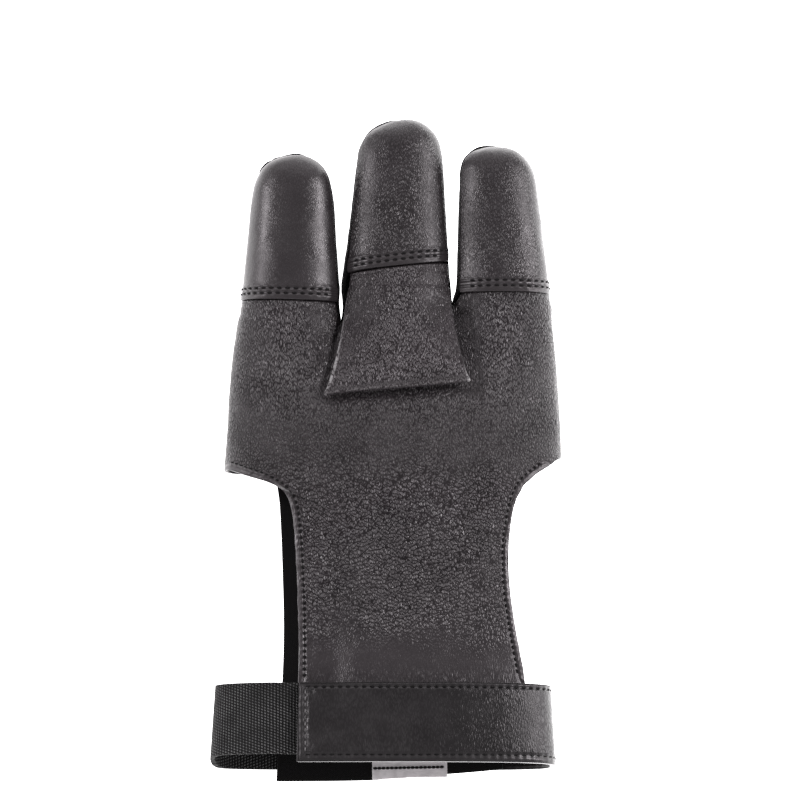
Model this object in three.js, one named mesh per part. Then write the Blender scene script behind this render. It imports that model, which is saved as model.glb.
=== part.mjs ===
// A three-finger archery glove for the right hand, lying on its back with the palm up.
// Millimetres. +Y runs from the wrist to the fingertips, +X to the thumb side, +Z up out of the palm.
// The pieces are shaped about the middle of the wrist strap, then moved together so that the origin
// is the middle of the glove's underside.
import * as THREE from "three";

// Walls and gaps
const leatherWall = 1.2;
const capWall = 1.4;
const fabricWall = 1.2;
const strapWall = 2;
const elasticWall = 1.4;
const patchWall = 1.2;
const labelLeaf = 0.5;
const clearance = 0.3;

// Hand sizes: distances up the hand start at the middle of the wrist strap
const cornerHeight = 83;
const thumbCornerHeight = 86.5;
const ringCrotchHeight = 129;
const indexCrotchHeight = 134;
const palmDepth = 26.5;
const knuckleDepth = 23;
const handMiddle = 2.6;
const ringFlare = 5;
const indexFlare = 3;
const cornerDrop = 5.6;
const thumbCornerDrop = 9.7;
const webFade = 30;
const outerSeamAngle = 40;

// Fingers: widths and depths at the root and where the round tip starts
const fingers = {
  ring: {
    length: 54.1, rootWidth: 31.6, tipWidth: 25.2, depth: 22, roundTip: 15, tipShift: 1.2,
    capLength: 47.6, hemSlant: 0.4, leftSeam: -outerSeamAngle, rightSeam: 18,
  },
  middle: {
    length: 62.2, rootWidth: 35.2, tipWidth: 27.4, depth: 22.6, roundTip: 13.2, tipShift: 1,
    capLength: 48.6, hemSlant: 2.2, leftSeam: 22, rightSeam: 8,
  },
  index: {
    length: 51, rootWidth: 31.2, tipWidth: 25.3, depth: 21.6, roundTip: 12.2, tipShift: -2.6,
    capLength: 46.8, hemSlant: 0.3, leftSeam: 32, rightSeam: -outerSeamAngle,
  },
};
const tipLift = 4;
const tipDepthShare = 0.9;
const hemOverlap = 7;
const hemTilt = 0.17;
const hemStep = 3;

// The tongue of leather that covers the root of the middle finger
const tongueFoot = 106.3;
const tongueSlant = 4.4;
const tongueFootHalf = 22.5;

// The wrist: the leather neck, the fabric neck, the strap's loop and the label
const neckHalf = 35;
const neckMiddle = 5;
const neckEnd = -8;
const backNeckHalf = 34.5;
const backNeckMiddle = 0.4;
const backNeckEnd = -14;
const backNeckSlant = 3;
const loopWidth = 106.4;
const loopDepth = 30;
const loopMiddle = -1.8;
const loopTilt = 0.06;
const loopTaper = 0.0012;
const loopSquareTop = 3;
const loopSquareBottom = 4;
const strapWidth = 25;
const elasticWidth = 23.4;
const elasticMiddle = 0.9;
const strapStart = 26.6;
const strapEnd = 4;
const elasticUnderlap = 9;
const elasticEnd = -14;
const elasticRise = 16;
const patchLength = 18;
const labelWidth = 23.4;
const labelLength = 15;
const labelMiddle = 6.5;

// Mesh steps
const lobeColumns = 11;
const middleColumns = 10;
const palmRows = 11;
const neckRows = 13;
const capRows = 5;
const tongueRows = 10;
const tipRows = 5;
const frontSideColumns = 7;
const backSideColumns = 3;

const degrees = Math.PI / 180;
const stack = leatherWall + clearance;
const strapLeft = loopMiddle - strapStart;
const crestShare = 0.5;
const seamTrim = clearance * 0.67;

const clamp = (share) => Math.min(1, Math.max(0, share));
const lerp = (from, to, share) => from + (to - from) * share;
const mix = (a, b, share) => a.map((value, axis) => lerp(value, b[axis], share));

// The place at a part column of a line of points
function between(line, column) {
  const first = Math.min(Math.floor(column), line.length - 2);
  return mix(line[first], line[first + 1], column - first);
}

function ease(share) {
  const s = clamp(share);
  return s * s * (3 - 2 * s);
}

// A smooth curve through one column of a table, whose rows are placed by their column "at".
function follow(table, column, at) {
  const last = table.length - 1;
  let row = 0;
  while (row < last - 1 && at > table[row + 1].at) row += 1;
  const slope = (n) => {
    const before = table[Math.max(0, n - 1)];
    const after = table[Math.min(last, n + 1)];
    return (after[column] - before[column]) / (after.at - before.at);
  };
  const [a, b] = [table[row], table[row + 1]];
  const span = b.at - a.at;
  const s = clamp((at - a.at) / span);
  return (
    a[column] * (1 + 2 * s) * (1 - s) ** 2 +
    b[column] * s * s * (3 - 2 * s) +
    slope(row) * span * s * (1 - s) ** 2 -
    slope(row + 1) * span * s * s * (1 - s)
  );
}

// A point [x, z] of a rounded cross-section at an angle, where 0 points to +X and 90 to +Z.
function rim(section, angle) {
  const [c, s] = [Math.cos(angle * degrees), Math.sin(angle * degrees)];
  const power = 2 / (s >= 0 ? section.squareTop : section.squareBottom);
  const height = s >= 0 ? section.above : section.below;
  return [
    section.x + section.half * Math.sign(c) * Math.abs(c) ** power,
    section.z + height * Math.sign(s) * Math.abs(s) ** power,
  ];
}

// The point [x, z] at a share of the arc length between two angles, kept a trim away from both ends.
// At the very tip, where the arc has no length, the point moves by that trim to the arc's own side.
function alongArc(section, from, to, share, trim = seamTrim) {
  const steps = 60;
  const points = Array.from({ length: steps + 1 }, (_, n) => rim(section, lerp(from, to, n / steps)));
  const reach = [0];
  for (let n = 1; n <= steps; n += 1) {
    const step = Math.hypot(points[n][0] - points[n - 1][0], points[n][1] - points[n - 1][1]);
    reach.push(reach[n - 1] + step);
  }
  if (reach[steps] < 4 * trim) return [section.x, section.z + (from < to ? -trim : trim)];
  const target = lerp(trim, reach[steps] - trim, share);
  let n = 1;
  while (n < steps && reach[n] < target) n += 1;
  return mix(points[n - 1], points[n], (target - reach[n - 1]) / (reach[n] - reach[n - 1]));
}

// Where each finger starts and ends
const widthsToSide = (side) => (fingers.middle.rootWidth + fingers[side].rootWidth) / 2;
fingers.middle.rootX = handMiddle;
fingers.ring.rootX = handMiddle - widthsToSide("ring");
fingers.index.rootX = handMiddle + widthsToSide("index");
fingers.ring.rootY = ringCrotchHeight;
fingers.middle.rootY = (ringCrotchHeight + indexCrotchHeight) / 2;
fingers.index.rootY = indexCrotchHeight;
for (const finger of Object.values(fingers)) finger.tipY = finger.rootY + finger.length;

// The cross-section of a finger at a height up the hand; below the root it stays as it is there.
function fingerSection(finger, y, inset = 0) {
  const fromTip = Math.max(0, finger.tipY - y);
  const share = clamp((finger.length - fromTip) / (finger.length - finger.roundTip));
  const width = lerp(finger.rootWidth, finger.tipWidth, share ** 0.85);
  const depth = finger.depth * lerp(1, tipDepthShare, share);
  const dome = Math.sqrt(1 - (1 - clamp(fromTip / finger.roundTip)) ** 2);
  const along = clamp(1 - fromTip / finger.length);
  const lift = tipLift * along * along;
  return {
    x: finger.rootX + finger.tipShift * along,
    z: lift + depth * crestShare,
    half: Math.max(0, (width / 2) * dome - inset),
    above: Math.max(0, depth * (1 - crestShare) * dome - inset),
    below: Math.max(0, depth * crestShare * dome - inset),
    squareTop: 2.3,
    squareBottom: 2.6,
  };
}

// The cross-section of the hand at a height between the wrist and the fingers.
const palmLeft = fingers.ring.rootX - fingers.ring.rootWidth / 2;
const palmRight = fingers.index.rootX + fingers.index.rootWidth / 2;
function palmSection(y) {
  const share = clamp((ringCrotchHeight - y) / (ringCrotchHeight - cornerHeight));
  const left = palmLeft - ringFlare * share ** 0.7;
  const right = palmRight + indexFlare * share ** 0.5;
  const below = knuckleDepth * crestShare;
  return {
    x: (left + right) / 2,
    z: below,
    half: (right - left) / 2,
    above: lerp(knuckleDepth, palmDepth, share) - below,
    below,
    squareTop: 2.7,
    squareBottom: 3.4,
  };
}

// The two valleys between the fingers, where the front leather lies over the back fabric.
const valleys = [
  { x: handMiddle - fingers.middle.rootWidth / 2, share: 0.345, z: 13 },
  { x: handMiddle + fingers.middle.rootWidth / 2, share: 0.665, z: 14 },
];
const frontValley = (valley) => [valley.x, valley.z + leatherWall + clearance / 2];
const backValley = (valley) => [valley.x, valley.z - fabricWall - clearance / 2];

// Moves a point of a finger's arc so that the arc's end runs into the valley at the crotch.
function towardValley(point, end, valley, aside, above, reach) {
  const share = ease(1 - above / reach) * clamp(1 - aside / 0.45) ** 2;
  return [point[0] + (valley[0] - end[0]) * share, point[1] + (valley[1] - end[1]) * share];
}

// A finger's arc at a height, with its ends led into the valleys beside it.
function ledArc(name, section, from, to, share, y, atValley, trim = seamTrim) {
  let point = alongArc(section, from, to, share, trim);
  if (name !== "ring") {
    const valley = valleys[name === "middle" ? 0 : 1];
    const crotch = name === "middle" ? ringCrotchHeight : indexCrotchHeight;
    const [above, reach] = [Math.max(0, y - crotch), hemBottom(fingers[name]) - crotch];
    point = towardValley(point, alongArc(section, from, to, 0, trim), atValley(valley), share, above, reach);
  }
  if (name !== "index") {
    const valley = valleys[name === "ring" ? 0 : 1];
    const crotch = name === "ring" ? ringCrotchHeight : indexCrotchHeight;
    const [above, reach] = [Math.max(0, y - crotch), hemBottom(fingers[name]) - crotch];
    point = towardValley(point, alongArc(section, from, to, 1, trim), atValley(valley), 1 - share, above, reach);
  }
  return point;
}

// How far the fingers' own roundness has faded into the palm, 0 at the crotch.
function webShare(crotch, y) {
  return 1 - (1 - clamp((crotch - y) / webFade)) ** 2;
}
const crotchAt = (across) => lerp(ringCrotchHeight, indexCrotchHeight, ease(across));

// One lobe of the front leather and its share of the palm's arc
const lobes = {
  ring: { from: 0, to: valleys[0].share, columns: lobeColumns },
  middle: { from: valleys[0].share, to: valleys[1].share, columns: middleColumns },
  index: { from: valleys[1].share, to: 1, columns: lobeColumns },
};

// The height of the crotch above each column
function lobeTop(name, share) {
  const across = { ring: 0, middle: share, index: 1 }[name];
  return crotchAt(across);
}

// The front leather's outer surface [x, z] in one lobe at a height.
function frontPoint(name, share, y) {
  const finger = fingers[name];
  const lobe = lobes[name];
  const inset = hemInset(finger, y);
  const section = fingerSection(finger, y, inset);
  let round;
  if (name === "middle") {
    const crest = section.z + section.above - stack;
    const [a, b] = valleys.map(frontValley);
    const base = mix(a, b, share);
    round = [base[0], lerp(base[1], crest, Math.sin(Math.PI * share) ** 1.6)];
  } else {
    const [left, right] = [180 - finger.leftSeam, finger.rightSeam];
    round = ledArc(name, section, left, right, share, y, frontValley, seamTrim + inset / 5);
  }
  const arc = lerp(lobe.from, lobe.to, share);
  const flat = alongArc(palmSection(y), 180 + outerSeamAngle, -outerSeamAngle, arc);
  return mix(round, flat, webShare(lobeTop(name, share), y));
}

// Leather that runs up under a cap lies in by the cap's wall, and comes out below its hem.
const hemBottom = (finger) => finger.tipY - finger.capLength - finger.hemSlant;
function hemInset(finger, y) {
  return (capWall + 1.5 * clearance) * ease((y - hemBottom(finger)) / hemStep + 1.1);
}

// The back fabric's outer surface [x, z] in one lobe at a height.
function backPoint(name, share, y) {
  const finger = fingers[name];
  const lobe = lobes[name];
  const [left, right] = [180 - finger.leftSeam, 360 + finger.rightSeam];
  const round = ledArc(name, fingerSection(finger, y), left, right, share, y, backValley);
  const arc = lerp(lobe.from, lobe.to, share);
  const flat = alongArc(palmSection(y), 180 + outerSeamAngle, 360 - outerSeamAngle, arc);
  return mix(round, flat, webShare(lobeTop(name, share), y));
}

// The share of a column over which a surface's slope is taken
const sideStep = 0.02;

// A sheet is a surface of quads that share their corners, to be given a thickness.
class Sheet {
  constructor() {
    this.points = [];
    this.normals = [];
    this.faces = [];
    this.known = new Map();
  }

  corner(point) {
    const key = point.map((value) => Math.round(value * 500)).join();
    if (!this.known.has(key)) {
      this.known.set(key, this.points.length);
      this.points.push(point);
      this.normals.push(new THREE.Vector3());
    }
    return this.known.get(key);
  }

  // Adds a patch of columns by rows; pointAt gives a corner from its column and row.
  patch(columns, rows, pointAt, flip = false) {
    const corners = [];
    const at = (column, row) => new THREE.Vector3(...pointAt(column, row));
    for (let row = 0; row <= rows; row += 1) {
      const line = [];
      for (let column = 0; column <= columns; column += 1) {
        const corner = this.corner(pointAt(column, row));
        const step = column < columns ? sideStep : -sideStep;
        const across = at(column + step, row).sub(at(column, row)).multiplyScalar(Math.sign(step));
        const up = at(column, Math.max(0, row - 1)).sub(at(column, Math.min(rows, row + 1)));
        const normal = across.cross(up).normalize();
        this.normals[corner].addScaledVector(normal, flip ? 1 : -1);
        line.push(corner);
      }
      corners.push(line);
    }
    for (let row = 0; row < rows; row += 1) {
      for (let column = 0; column < columns; column += 1) {
        const around = [
          corners[row][column],
          corners[row][column + 1],
          corners[row + 1][column + 1],
          corners[row + 1][column],
        ].filter((corner, n, all) => corner !== all[(n + 1) % 4]);
        if (around.length > 2) this.faces.push(flip ? around.reverse() : around);
      }
    }
  }

  // The closed solid between this surface and the one a wall's thickness behind it.
  thicken(wall) {
    const triangles = [];
    const rims = new Map();
    for (const face of this.faces) {
      for (let n = 2; n < face.length; n += 1) triangles.push([face[0], face[n - 1], face[n]]);
      face.forEach((from, n) => {
        const to = face[(n + 1) % face.length];
        if (!rims.delete(to + "," + from)) rims.set(from + "," + to, [from, to]);
      });
    }
    const at = (n) => new THREE.Vector3(...this.points[n]);
    const inner = this.normals.map((normal, n) => at(n).addScaledVector(normal.normalize(), -wall));
    const count = this.points.length;
    const index = [];
    for (const [a, b, c] of triangles) index.push(a, b, c, a + count, c + count, b + count);
    for (const [from, to] of rims.values()) {
      index.push(from, from + count, to, to, from + count, to + count);
    }
    const positions = [...this.points.flat(), ...inner.flatMap((p) => p.toArray())];
    const geometry = new THREE.BufferGeometry();
    geometry.setAttribute("position", new THREE.Float32BufferAttribute(positions, 3));
    geometry.setIndex(index);
    return geometry;
  }
}

// The distances from the tip at which a finger's rows lie: even steps, then a round end.
function fingerRows(from, roundTip, steps) {
  const rows = [];
  for (let n = 0; n < steps; n += 1) rows.push(lerp(from, roundTip, n / steps));
  for (let n = 0; n <= tipRows; n += 1) {
    rows.push(roundTip * (1 - Math.sin((n / tipRows) * 90 * degrees)));
  }
  return rows.reverse();
}

// A fingertip cap: the front of the finger from its tip down to the stitched hem.
function capGeometry(finger) {
  const rows = fingerRows(finger.capLength, finger.roundTip, capRows);
  const sheet = new Sheet();
  sheet.patch(lobeColumns + 1, rows.length - 1, (column, row) => {
    const share = column / (lobeColumns + 1);
    const nearHem = clamp(rows[row] / finger.capLength) ** 4;
    const y = finger.tipY - rows[row] + finger.hemSlant * (2 * share - 1) * nearHem;
    const section = fingerSection(finger, y);
    const [x, z] = alongArc(section, 180 - finger.leftSeam, finger.rightSeam, share);
    return [x, y + hemTilt * (section.z + section.above - z) * nearHem, z];
  }, true);
  return sheet.thicken(capWall);
}

// The outline of the palm leather below its corners: how far down, and how wide to each side.
const neckOutline = [
  { at: 0, down: 0, side: 0.01, left: 1.23, right: 1.07 },
  { at: 0.08, down: 0.05, side: 0.04, left: 1.074, right: 1.01 },
  { at: 0.16, down: 0.1, side: 0.09, left: 1.02, right: 0.971 },
  { at: 0.25, down: 0.16, side: 0.15, left: 0.995, right: 0.946 },
  { at: 0.35, down: 0.24, side: 0.24, left: 0.976, right: 0.929 },
  { at: 0.5, down: 0.39, side: 0.39, left: 0.958, right: 0.935 },
  { at: 0.65, down: 0.56, side: 0.56, left: 0.946, right: 0.992 },
  { at: 0.8, down: 0.74, side: 0.74, left: 0.95, right: 1.073 },
  { at: 1, down: 1, side: 1, left: 0.95, right: 1.12 },
];

// The outline of the fabric back below its corners.
const backOutline = [
  { at: 0, down: 0, side: 0, left: 1.05, right: 1.09 },
  { at: 0.08, down: 0.05, side: 0.06, left: 0.99, right: 1.035 },
  { at: 0.16, down: 0.1, side: 0.1, left: 0.98, right: 1.01 },
  { at: 0.35, down: 0.26, side: 0.26, left: 0.96, right: 1 },
  { at: 0.65, down: 0.58, side: 0.58, left: 0.945, right: 1 },
  { at: 1, down: 1, side: 1, left: 1.01, right: 1.02 },
];

// The lower edge of the hand part, from the corner at the side seam in to the neck.
const midEdge = cornerHeight - 12;
const handCorners = [
  { height: cornerHeight, drop: cornerDrop },
  { height: thumbCornerHeight, drop: thumbCornerDrop },
];
function edgeHeight(x, z, section, neck, dropShare) {
  const side = x < section.x ? 0 : 1;
  const sign = 2 * side - 1;
  const { height, drop } = handCorners[side];
  if (z < section.z) return height;
  const inside = sign * (neck[side] - x);
  const reach = sign * (section.x + sign * section.half - neck[side]);
  if (inside > 0) return lerp(height - drop * dropShare, midEdge, ease(inside / 14));
  return height - drop * dropShare * (1 - clamp(-inside / reach)) ** 0.9;
}

// The wrist loop's outer surface [x, z] at an angle, moved in by an inset and flat where it lies.
function loopPoint(angle, inset) {
  const [x, z] = rim(
    {
      x: loopMiddle,
      z: loopDepth / 2,
      half: loopWidth / 2 - inset,
      above: loopDepth / 2 - inset,
      below: loopDepth / 2 + clearance - inset,
      squareTop: loopSquareTop,
      squareBottom: loopSquareBottom,
    },
    angle,
  );
  return [x, Math.max(z, inset)];
}

// How high the loop runs in front and behind at x, moved in by an inset
function loopFront(x, inset) {
  const share = clamp(Math.abs(x - loopMiddle) / (loopWidth / 2 - inset));
  return loopDepth / 2 + (loopDepth / 2 - inset) * (1 - share ** loopSquareTop) ** (1 / loopSquareTop);
}
function loopBack(x, inset) {
  const share = clamp(Math.abs(x - loopMiddle) / (loopWidth / 2 - inset));
  const below = loopDepth / 2 + clearance - inset;
  return loopDepth / 2 - below * (1 - share ** loopSquareBottom) ** (1 / loopSquareBottom);
}

// Front and back grow from the same rows: three lobes side by side, then the neck.
function addHand(sheet, pointOf, flip, bottomOf) {
  for (const [name, lobe] of Object.entries(lobes)) {
    sheet.patch(lobe.columns, palmRows, (column, row) => {
      const share = column / lobe.columns;
      const top = lobeTop(name, share);
      const y = lerp(top, bottomOf(name, share), row / palmRows);
      const [x, z] = pointOf(name, share, y);
      return [x, y, z];
    }, flip);
  }
}

// The columns of the corner row, in order, as [lobe, share].
const cornerColumns = [];
for (const [name, lobe] of Object.entries(lobes)) {
  const first = name === "ring" ? 0 : 1;
  for (let column = first; column <= lobe.columns; column += 1) {
    cornerColumns.push([name, column / lobe.columns]);
  }
}
const neckColumns = (aside) => cornerColumns.slice(aside, cornerColumns.length - aside);

// The leather over the palm, with the roots of the ring and index fingers and the neck to the strap.
function palmGeometry() {
  const corner = palmSection(cornerHeight);
  const columns = neckColumns(frontSideColumns);
  const ends = [columns[0], columns[columns.length - 1]];
  const neck = ends.map(([name, share]) => frontPoint(name, share, cornerHeight)[0]);
  const bottomOf = (name, share) => {
    const [x, z] = frontPoint(name, share, cornerHeight);
    return edgeHeight(x, z, corner, neck, 1);
  };
  const sheet = new Sheet();
  for (const name of ["ring", "index"]) {
    const finger = fingers[name];
    const hem = hemBottom(finger);
    const heights = [hem + hemOverlap, hem, hem - hemStep, lobeTop(name, 0)];
    sheet.patch(lobes[name].columns, heights.length - 1, (column, row) => {
      const [share, y] = [column / lobes[name].columns, heights[row]];
      const [x, z] = frontPoint(name, share, y);
      return [x, y, z];
    }, true);
  }
  addHand(sheet, frontPoint, true, bottomOf);

  const cornerRow = columns.map(([name, share]) => {
    const y = bottomOf(name, share);
    const [x, z] = frontPoint(name, share, y);
    return [x, y, z];
  });
  const first = cornerRow[0];
  const last = cornerRow[cornerRow.length - 1];
  sheet.patch(cornerRow.length - 1, neckRows, (column, row) => {
    const start = between(cornerRow, column);
    if (row === 0) return start;
    const at = row / neckRows;
    const across = (start[0] - first[0]) / (last[0] - first[0]);
    const left = neckMiddle - neckHalf * follow(neckOutline, "left", at);
    const right = neckMiddle + neckHalf * follow(neckOutline, "right", at);
    const x = lerp(left, right, across);
    const middleY = lerp(midEdge, neckEnd, follow(neckOutline, "down", at));
    const sideStart = (across < 0.5 ? first : last)[1];
    const sideY = lerp(sideStart, neckEnd, follow(neckOutline, "side", at));
    const y = lerp(middleY, sideY, Math.abs(2 * across - 1) ** 3);
    const under = elasticWall + clearance;
    const step = ease((x - strapLeft - elasticUnderlap - 4) / 4);
    const inset = strapWall + 2 * clearance + under * (1 - step);
    return [x, y, lerp(start[2], loopFront(x, inset), ease(at / 0.8))];
  }, true);
  return sheet.thicken(leatherWall);
}

// The stretch fabric behind the three fingers and the hand, with its own neck to the strap.
const backRise = strapWall + patchWall + 2 * clearance;
const backDropShare = 0.2;
function backGeometry() {
  const corner = palmSection(cornerHeight);
  const columns = neckColumns(backSideColumns);
  const ends = [columns[0], columns[columns.length - 1]];
  const neck = ends.map(([name, share]) => backPoint(name, share, cornerHeight)[0]);
  const bottomOf = (name, share) => {
    const [x, z] = backPoint(name, share, cornerHeight);
    return edgeHeight(x, 2 * corner.z - z, corner, neck, backDropShare);
  };
  const sheet = new Sheet();
  for (const [name, finger] of Object.entries(fingers)) {
    const lobe = lobes[name];
    const rows = fingerRows(1, finger.roundTip / finger.length, capRows);
    sheet.patch(lobe.columns, rows.length - 1, (column, row) => {
      const share = column / lobe.columns;
      const top = lobeTop(name, share);
      const y = finger.tipY - (finger.tipY - top) * rows[row];
      const [x, z] = backPoint(name, share, y);
      return [x, y, z];
    });
  }
  addHand(sheet, backPoint, false, bottomOf);

  const cornerRow = columns.map(([name, share]) => {
    const y = bottomOf(name, share);
    const [x, z] = backPoint(name, share, y);
    return [x, y, z];
  });
  const first = cornerRow[0];
  const last = cornerRow[cornerRow.length - 1];
  sheet.patch(cornerRow.length - 1, neckRows, (column, row) => {
    const start = between(cornerRow, column);
    if (row === 0) return start;
    const at = row / neckRows;
    const across = (start[0] - first[0]) / (last[0] - first[0]);
    const left = backNeckMiddle - backNeckHalf * follow(backOutline, "left", at);
    const right = backNeckMiddle + backNeckHalf * follow(backOutline, "right", at);
    const middleY = lerp(midEdge, backNeckEnd, follow(backOutline, "down", at));
    const sideStart = (across < 0.5 ? first : last)[1];
    const sideY = lerp(sideStart, backNeckEnd, follow(backOutline, "side", at));
    const slant = backNeckSlant * across ** 2.5 * at ** 3;
    const y = lerp(middleY, sideY, Math.abs(2 * across - 1) ** 3) + slant;
    const settle = ease(at / 0.35);
    const x = lerp(left, right, across);
    const above = Math.max(backRise, loopBack(x, strapWall + clearance));
    return [x, y, start[2] * (1 - settle) + above * ease((strapWidth * 1.6 - y) / strapWidth)];
  });
  return sheet.thicken(fabricWall);
}

// The highest point of the palm leather near x at a height
function palmTop(x, y) {
  const steps = 24;
  const line = [];
  for (const name of Object.keys(lobes)) {
    for (let n = 0; n <= steps; n += 1) line.push(frontPoint(name, n / steps, y));
  }
  return Math.max(...line.filter((point) => Math.abs(point[0] - x) < 2 * stack).map((point) => point[1]));
}

// The middle finger's leather: it comes out of the cap and lies over the palm as a flared tongue.
function tongueGeometry() {
  const finger = fingers.middle;
  const hem = hemBottom(finger);
  const sheet = new Sheet();
  const across = lobeColumns + 1;
  sheet.patch(across, tongueRows + 2, (column, row) => {
    const share = column / across;
    const foot = tongueFoot + tongueSlant * (share - 0.5);
    const top = hem + hemOverlap + 2 * finger.hemSlant;
    const y = row < 2 ? [top, hem][row] : lerp(hem - hemStep, foot, (row - 2) / tongueRows);
    const section = fingerSection(finger, y, hemInset(finger, y));
    const round = alongArc(section, 180 - finger.leftSeam, finger.rightSeam, share);
    const crotch = crotchAt(share);
    const flare = clamp((crotch + 4 - y) / (crotch + 4 - foot));
    const half = lerp(finger.rootWidth / 2 - 1, tongueFootHalf, flare ** 1.5);
    const spread = lerp(share, (1 - Math.cos(Math.PI * share)) / 2, 0.5);
    const flatX = handMiddle + half * (2 * spread - 1);
    const flat = [flatX, palmTop(flatX, y) + stack];
    const [x, z] = mix(round, flat, ease((crotch + 10 - y) / 10));
    return [x, y, z];
  }, true);
  return sheet.thicken(leatherWall);
}

// The angle at which the loop passes a place, measured from the loop's middle, at its front or back.
function loopAngle(x, front) {
  let [low, high] = front ? [0, 180] : [180, 360];
  for (let n = 0; n < 40; n += 1) {
    const middle = (low + high) / 2;
    if (loopPoint(middle, 0)[0] > x === front) low = middle;
    else high = middle;
  }
  return (low + high) / 2;
}

// A band around the loop between two angles, with its wall, its width and its inset along it.
const bandSteps = 40;
function bandGeometry(from, to, wall, width, middle, insetAt) {
  const line = Array.from({ length: bandSteps + 1 }, (_, n) => {
    const angle = lerp(from, to, n / bandSteps);
    const around = loopPoint(angle, 0);
    const inset = insetAt(around[0], around[1] > loopDepth / 2);
    return [loopPoint(angle, inset), loopPoint(angle, inset + wall)];
  });
  const edge = [...line.map((pair) => pair[0]), ...line.map((pair) => pair[1]).reverse()];
  const outline = new THREE.Shape(edge.map(([x, z]) => new THREE.Vector2(x, z)));
  const geometry = new THREE.ExtrudeGeometry(outline, { depth: width, bevelEnabled: false });
  geometry.rotateX(Math.PI / 2);
  geometry.translate(0, middle + width / 2, 0);
  const places = geometry.getAttribute("position");
  for (let n = 0; n < places.count; n += 1) {
    const [x, y, z] = [places.getX(n), places.getY(n), places.getZ(n)];
    places.setXYZ(n, x * (1 - loopTaper * y), y + loopTilt * (loopDepth - z), z);
  }
  return geometry;
}

// The elastic starts under the strap's end in front and rises to the back fabric behind.
const elasticStart = strapLeft + elasticUnderlap;
function elasticInset(x, front) {
  if (front) return (strapWall + clearance) * ease((x - strapLeft) / (2 * strapWall) + 2);
  const under = backRise - 1.5 * clearance - elasticWall;
  return under * ease((x - elasticEnd + elasticRise) / elasticRise) ** 2;
}
const elasticBand = () => bandGeometry(
  loopAngle(elasticStart, true),
  loopAngle(elasticEnd, false),
  elasticWall,
  elasticWidth,
  elasticMiddle,
  elasticInset,
);
const strapBand = () => bandGeometry(
  loopAngle(strapLeft, true),
  loopAngle(strapEnd, false) - 360,
  strapWall,
  strapWidth,
  0,
  () => 0,
);
const wristTop = backRise + fabricWall;

function slab(width, length, thickness, x, y, z) {
  const geometry = new THREE.BoxGeometry(width, length, thickness);
  geometry.translate(x, y, z + thickness / 2);
  return geometry;
}

const group = new THREE.Group();
group.name = "archery_glove";

function addPiece(name, geometry, colour, roughness) {
  const material = new THREE.MeshStandardMaterial({ color: colour, roughness, metalness: 0 });
  const mesh = new THREE.Mesh(geometry, material);
  mesh.name = name;
  group.add(mesh);
}

function moveToOrigin() {
  const box = new THREE.Box3().setFromObject(group);
  const middle = box.getCenter(new THREE.Vector3());
  for (const mesh of group.children) mesh.geometry.translate(-middle.x, -middle.y, -box.min.z);
}

const capColour = 0x3b3839;
const leatherColour = 0x373335;
const fabricColour = 0x151516;
const strapColour = 0x2c292b;
const elasticColour = 0x3a3c3c;
const labelColour = 0xcfced0;

for (const [name, finger] of Object.entries(fingers)) {
  addPiece(name + "_cap", capGeometry(finger), capColour, 0.5);
}
addPiece("palm_leather", palmGeometry(), leatherColour, 0.5);
addPiece("middle_tongue", tongueGeometry(), leatherColour, 0.5);
addPiece("stretch_back", backGeometry(), fabricColour, 0.9);
addPiece("wrist_strap", strapBand(), strapColour, 0.5);
addPiece("wrist_elastic", elasticBand(), elasticColour, 0.9);
const patchX = strapEnd + patchLength / 2 + 2;
const patch = slab(patchLength, strapWidth - 5, patchWall, patchX, 0, strapWall + clearance);
addPiece("closure_patch", patch, fabricColour, 0.9);
const labelY = backNeckEnd + labelLength / 2 + clearance;
const label = slab(labelWidth, labelLength, labelLeaf, labelMiddle, labelY, wristTop + clearance);
addPiece("edge_label", label, labelColour, 0.7);
moveToOrigin();

export default group;
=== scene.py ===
"""The looks of a three-finger archery glove that lies on its back with the palm up.

Each soft piece is a smooth copy of its solid with real folds, hems and stitches added.
Lengths are in metres, in the same frame as the solids; the tables are in millimetres.
"""

import math

import bmesh
import bpy
import numpy as np
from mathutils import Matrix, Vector, noise
from mathutils.bvhtree import BVHTree


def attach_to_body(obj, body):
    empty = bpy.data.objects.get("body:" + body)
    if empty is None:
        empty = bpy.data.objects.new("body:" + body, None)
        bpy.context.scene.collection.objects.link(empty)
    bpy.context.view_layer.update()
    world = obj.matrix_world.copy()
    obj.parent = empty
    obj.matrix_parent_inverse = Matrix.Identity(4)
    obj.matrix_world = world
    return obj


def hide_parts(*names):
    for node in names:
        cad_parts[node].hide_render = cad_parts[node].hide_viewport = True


MM = 0.001

# The height of the fingers' middle lines, and the height at which a hem's place is given
FINGER_Z = 11.5
HEM_Z = 22.5

# A place round a cap's outline is an angle over the tip, from the thumb's side, and goes on at this
# many degrees a millimetre down the sides. Where the back doesn't show, it ends inside the cap.
SIDE_STEP = 3
HIDDEN = -0.3

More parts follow.
